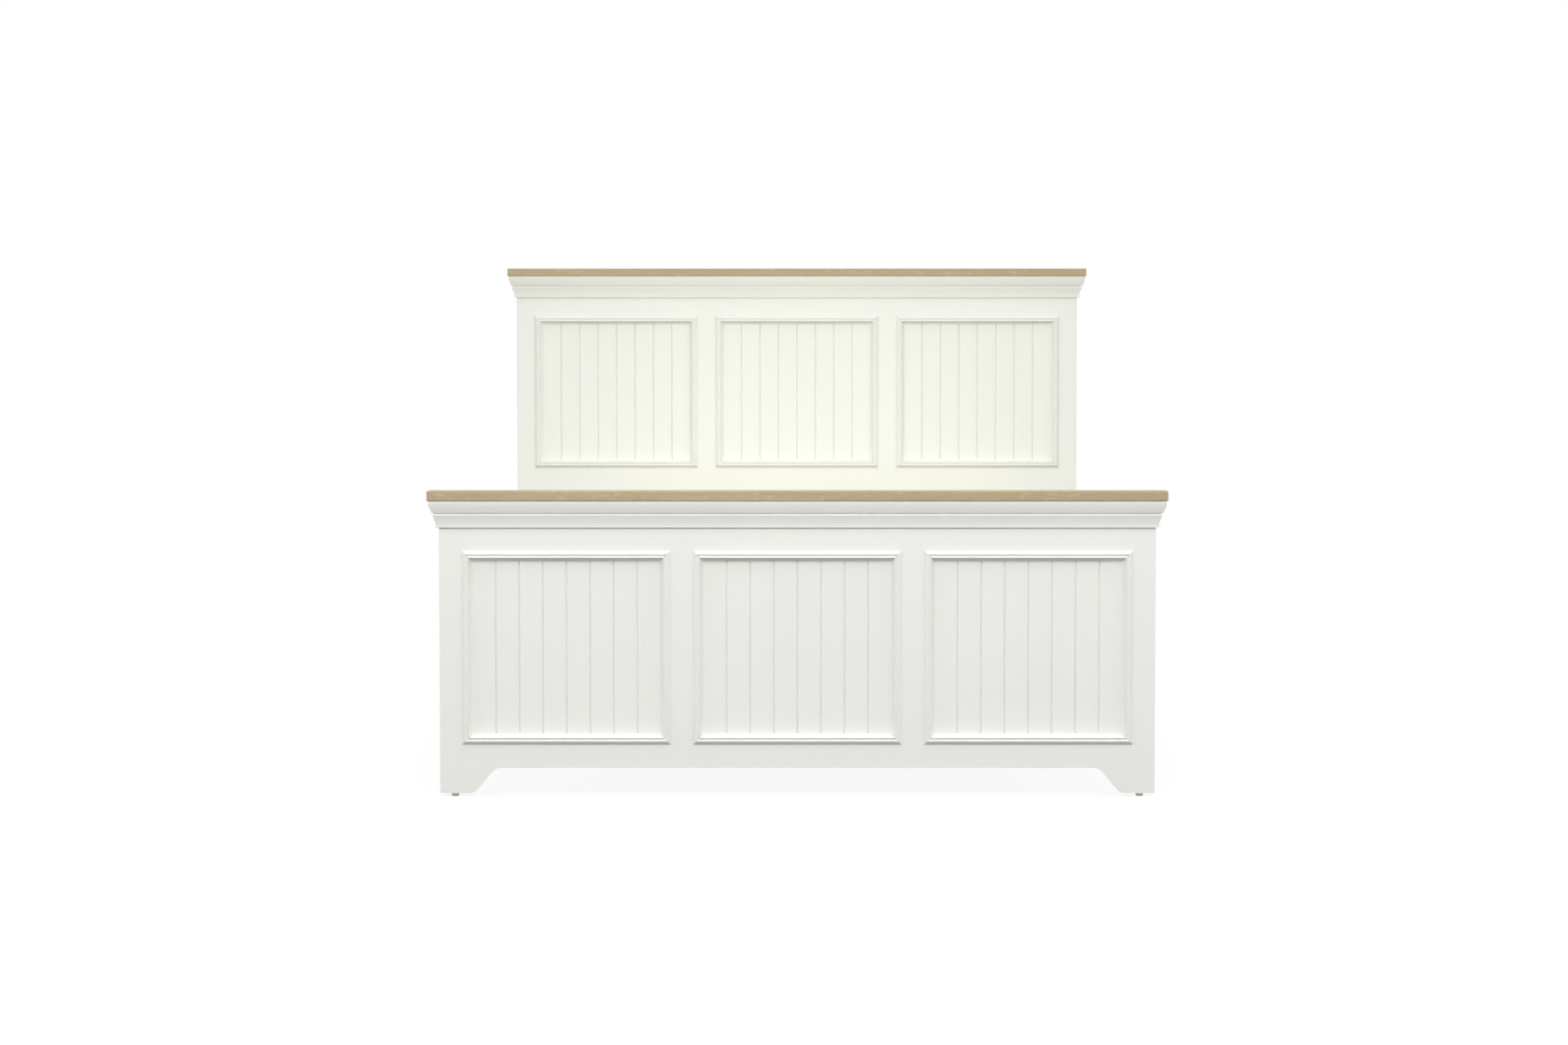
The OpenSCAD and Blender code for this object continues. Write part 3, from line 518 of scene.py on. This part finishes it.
def mark_edges(name, low, high, least_length, least_angle):
    group = geometry_group("arrises_of_" + name)
    entry = geometry_node(group, "NodeGroupInput")
    angle = geometry_node(group, "GeometryNodeInputMeshEdgeAngle")
    ends = geometry_node(group, "GeometryNodeInputMeshEdgeVertices")
    length = geometry_node(group, "ShaderNodeVectorMath", {"operation": "DISTANCE"}, {
        0: ends.outputs["Position 1"], 1: ends.outputs["Position 2"]})
    place = geometry_node(group, "GeometryNodeInputPosition")
    place = geometry_node(group, "ShaderNodeVectorMath", {"operation": "ABSOLUTE"}, {
        0: place.outputs[0]})
    tests = [
        geometry_node(group, "FunctionNodeCompare",
                      {"data_type": "FLOAT", "operation": "GREATER_THAN"}, {0: value, 1: limit})
        for value, limit in (
            (angle.outputs["Unsigned Angle"], least_angle),
            (length.outputs["Value"], least_length))]
    for operation, corner in (("GREATER_THAN", low), ("LESS_THAN", high)):
        tests.append(geometry_node(
            group, "FunctionNodeCompare",
            {"data_type": "VECTOR", "mode": "ELEMENT", "operation": operation},
            {4: place.outputs[0], 5: corner}))
    passed = tests[0].outputs[0]
    for test in tests[1:]:
        passed = geometry_node(group, "FunctionNodeBooleanMath", {"operation": "AND"}, {
            0: passed, 1: test.outputs[0]}).outputs[0]
    stored = geometry_node(
        group, "GeometryNodeStoreNamedAttribute", {"data_type": "FLOAT", "domain": "EDGE"},
        {"Geometry": entry.outputs[0], "Name": "bevel_weight_edge", "Value": passed})
    leave = geometry_node(group, "NodeGroupOutput")
    group.links.new(stored.outputs[0], leave.inputs[0])
    return group


print("edge marking is ready")

# %% [markdown]
# After the bevel, faces that bend gently should shade as one, and only true corners
# should stay hard. Smooth shading alone would smear light over every flat board. So a
# second node group forgets the imported shading, smooths every face and keeps the
# edges above an angle sharp. Weighted normals then let the big flat faces win over the
# thin rounded lines beside them.

# %% Shade by angle
def shade_by_angle(degrees):
    group = geometry_group("shade_by_angle_" + str(degrees))
    entry = geometry_node(group, "NodeGroupInput")
    plain = geometry_node(group, "GeometryNodeRemoveAttribute", None, {
        0: entry.outputs[0], "Name": "custom_normal"})
    smooth = geometry_node(group, "GeometryNodeSetShadeSmooth", {"domain": "FACE"}, {
        "Geometry": plain.outputs[0], "Shade Smooth": True})
    angle = geometry_node(group, "GeometryNodeInputMeshEdgeAngle")
    gentle = geometry_node(
        group, "FunctionNodeCompare", {"data_type": "FLOAT", "operation": "LESS_THAN"},
        {0: angle.outputs["Unsigned Angle"], 1: math.radians(degrees)})
    edges = geometry_node(group, "GeometryNodeSetShadeSmooth", {"domain": "EDGE"}, {
        "Geometry": smooth.outputs[0], "Shade Smooth": gentle.outputs[0]})
    leave = geometry_node(group, "NodeGroupOutput")
    group.links.new(edges.outputs[0], leave.inputs[0])
    return group


SMOOTH_BELOW = 32
SHADING = shade_by_angle(SMOOTH_BELOW)
print("shading group:", SHADING.name)

# %% [markdown]
# How far an edge is rounded depends on the piece, so one width for all would look wrong.
# Paint fills the corners of the mouldings to about half a millimetre, the oak cap is
# softened with a block plane, and slats get a machined round of two millimetres so that
# they don't cut the mattress. Short edges are left sharp, apart from those that make up
# the bends of the apron. Places count as their distance from the middle of the bed, so
# one box serves the left and the right.

# %% Round and shade the pieces
FAR = 9
EVERYWHERE = ((-FAR, -FAR, -FAR), (FAR, FAR, FAR))
POST_OUTSIDES = ((half_width - 2 * MM, -FAR, -FAR), (FAR, FAR, FAR))
APRON_ARCH = ((-FAR, -FAR, -FAR), (post_low.x - 1.5 * MM, FAR, 100 * MM))
SHORTEST_EDGE = 8 * MM
SHORTEST_BEND = 1.5 * MM
ARRIS_ANGLE = 25
FLAT_WITHIN = 0.3
SEAM = 0.002 * MM


def arris_of(name):
    if name.endswith("_cap"):
        return 0.6 * MM, EVERYWHERE
    if name == "slats":
        return 2 * MM, EVERYWHERE
    if name.startswith(("batten_", "centre_leg")) or name == "centre_rail":
        return 1 * MM, EVERYWHERE
    if name.startswith("side_rail"):
        return 1.2 * MM, EVERYWHERE
    if "moulding" in name or "cornice" in name:
        return 0.5 * MM, EVERYWHERE
    if "panel" in name:
        return 0.4 * MM, EVERYWHERE
    if "post" in name and name not in STEEL_PARTS:
        return 2.5 * MM, POST_OUTSIDES
    if name == "foot_apron":
        return 1.5 * MM, APRON_ARCH
    return None, None


def modify(piece, label, kind, **settings):
    made = piece.modifiers.new(label, kind)
    for key, value in settings.items():
        setattr(made, key, value)
    return made


for name, piece in nodes.items():
    modify(piece, "close the seams", "WELD", merge_threshold=SEAM)
    width, box = arris_of(name)
    if width:
        modify(piece, "whole faces", "DECIMATE", decimate_type="DISSOLVE",
               angle_limit=math.radians(FLAT_WITHIN))
        shortest = SHORTEST_BEND if name == "foot_apron" else SHORTEST_EDGE
        marks = mark_edges(name, *box, shortest, math.radians(ARRIS_ANGLE))
        modify(piece, "mark the arrises", "NODES", node_group=marks)
        modify(piece, "sand the arrises", "BEVEL", limit_method="WEIGHT", width=width,
               segments=2, use_clamp_overlap=True)
    modify(piece, "shade by angle", "NODES", node_group=SHADING)
    modify(piece, "weigh the normals", "WEIGHTED_NORMAL", keep_sharp=True)
print("rounded pieces:", sum(arris_of(name)[0] is not None for name in nodes))

# %% [markdown]
# ## The studio
# The picture has a white ground. The floor is pale and plain and goes on far behind
# the bed. Lamps strong enough to turn it white would bleach the paint as well. So to a
# lamp's light it is an ordinary matt surface, while to the camera, and to reflections,
# most of it glows. It reads as white where nothing shades it and still shows the soft
# shadow under the bed.

# %% Lay the floor
SHADOW_GREY = 0.12
GLOW = 0.89
SHADOW_ENDS = 2.5
WHITE_BEGINS = 7
REACH = 60


def white_floor():
    finish = Finish("studio_floor")
    place = finish.node("TexCoord", out="Object")
    distance = finish.node("VectorMath", {"operation": "LENGTH"}, {0: place}, out="Value")
    far = finish.step(distance, SHADOW_ENDS, WHITE_BEGINS)
    matt = finish.node("BsdfDiffuse", None, {"Color": chart("707070")})
    shaded = finish.node("BsdfDiffuse", None, {"Color": (SHADOW_GREY,) * 3 + (1,)})
    glow = finish.node("Emission", None, {"Strength": GLOW})
    near = finish.node("AddShader", None, {0: shaded, 1: glow})
    white = finish.node("Emission", None, {"Strength": 1})
    ground = finish.node("MixShader", None, {0: far, 1: near, 2: white})
    surface = finish.node("MixShader", None, {0: finish.seen_directly(), 1: matt, 2: ground})
    end = finish.tree.nodes["Material Output"]
    finish.feed(end.inputs["Surface"], surface)
    return finish.material


floor_mesh = bpy.data.meshes.new("floor")
floor_mesh.from_pydata(
    [(-REACH, -REACH, 0), (REACH, -REACH, 0), (REACH, REACH, 0), (-REACH, REACH, 0)], [],
    [(0, 1, 2, 3)])
floor_mesh.materials.append(white_floor())
floor = bpy.data.objects.new("floor", floor_mesh)
bpy.context.scene.collection.objects.link(floor)
print("floor:", 2 * REACH, "m wide")

# %% [markdown]
# The world is an even pale sky that gives most of the light, and the camera sees it as
# plain white. A picture of a real studio would put its windows on the paint. The display
# transform is the standard one, so that fully lit paint shows the chart colour that was
# written for it.

# %% Set the sky and the display
scene = bpy.context.scene
scene.view_settings.view_transform = "Standard"
scene.world = bpy.data.worlds.new("sky")
SKY = 0.93
sky = Finish("sky", scene.world, "Background")
seen = sky.seen_directly()
sky.shine(Color=(1, 1, 1, 1), Strength=seen + (1 - seen) * SKY)
print("sky strength:", SKY)

# %% [markdown]
# A wide soft box hangs in front of the foot end and above it. It makes the slopes that
# look up bright and leaves those that look down grey, and that draws the mouldings. A
# sun would do so too, but with hard shadows. A box at each side stands far off, so that
# the left and the right of a moulding look alike. A small one low in the mattress space
# lifts the middle of the headboard, where the light of a real studio comes back from
# the white floor. It is a little green, to cancel the red that the bare pine throws
# back. Each line below gives a lamp's place, the point that it looks at, its width and
# height, and its power in watts.

# %% Hang the lamps
def soft_box(name, place, target, size, power, colour=(1, 1, 1)):
    lamp = bpy.data.objects.new(name, bpy.data.lights.new(name, "AREA"))
    bpy.context.scene.collection.objects.link(lamp)
    lamp.data.shape = "RECTANGLE"
    lamp.data.size, lamp.data.size_y = size
    lamp.data.energy = power
    lamp.data.color = colour
    lamp.visible_camera = False
    lamp.location = place
    aim = [t - p for t, p in zip(target, place)]
    flat = math.hypot(aim[0], aim[1])
    lamp.rotation_euler = (math.atan2(flat, -aim[2]), 0, math.atan2(-aim[0], aim[1]))
    print("lamp:", name, power, "W")


soft_box("front box", (0, -4.2, 2.4), (0, -1, 0.5), (4, 1), 62)
soft_box("left box", (-5.5, -3.5, 2.6), (0, 0, 0.6), (3, 3), 44)
soft_box("right box", (5.5, -3.5, 2.6), (0, 0, 0.6), (3, 3), 44)
soft_box("head box", (0, 0.1, 0.65), (0, 1.02, 0.98), (1.4, 0.4), 2.5, (0.82, 1, 0.82))
